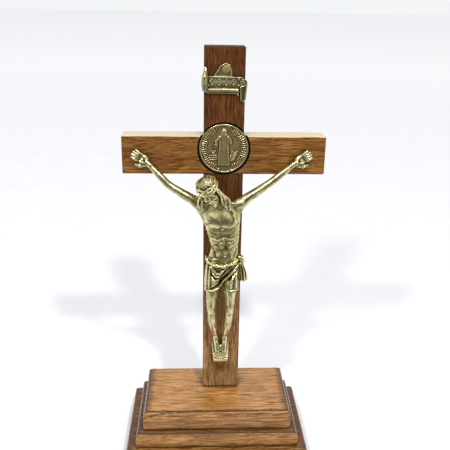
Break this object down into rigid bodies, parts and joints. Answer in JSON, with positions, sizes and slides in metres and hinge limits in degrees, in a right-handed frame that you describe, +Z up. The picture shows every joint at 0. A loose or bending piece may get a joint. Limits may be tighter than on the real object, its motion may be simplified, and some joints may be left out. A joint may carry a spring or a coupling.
{
  "type": "altar cross",
  "caption": "Standing table cross of stained wood on a three-step moulded base, with an inlaid round medal, a cast figure, a foot rest and a pivoting scroll title plate.",
  "frame": {"origin": "centre of the base's underside, on the surface it stands on", "axes": "+Z up the cross, front of the cross towards -Y, +X to the viewer's right"},
  "size_m": [0.1289, 0.08, 0.2752],
  "materials": {
    "base_wood": "glossy varnish over golden brown wood with dark pores",
    "crossbeam_wood": "satin varnish over golden brown wood, grain along the beam",
    "upright_wood": "satin varnish over dark reddish brown wood, grain along the beam",
    "dowel_wood": "plain beech",
    "cast_brass": "antique brass, dark olive in the hollows and bright on the high spots",
    "medal_brass": "dull dark antique brass",
    "nail_brass": "golden brass",
    "screw_steel": "zinc plated",
    "felt": "green felt"
  },
  "bodies": {
    "cross": {"base_felt": "felt", "base_bottom_board": "base_wood", "base_middle_board": "base_wood", "base_top_board": "base_wood", "base_screw_front_left": "screw_steel", "base_screw_front_right": "screw_steel", "base_screw_rear_left": "screw_steel", "base_screw_rear_right": "screw_steel", "upright": "upright_wood", "crossbeam": "crossbeam_wood", "upright_screw": "screw_steel", "upright_dowel_left": "dowel_wood", "upright_dowel_right": "dowel_wood", "lap_screw": "screw_steel", "medal": "medal_brass", "title_nail": "nail_brass", "corpus": "cast_brass", "foot_rest": "cast_brass", "hand_nail_left": "nail_brass", "hand_nail_right": "nail_brass", "foot_nail": "nail_brass"},
    "title": {"title_scroll": "cast_brass"}
  },
  "joints": [
    {"name": "title_pivot", "type": "hinge", "parent": "cross", "child": "title", "pos_m": [0.0037, 0.0017, 0.262], "axis": [0, 1, 0], "continuous": true}
  ]
}
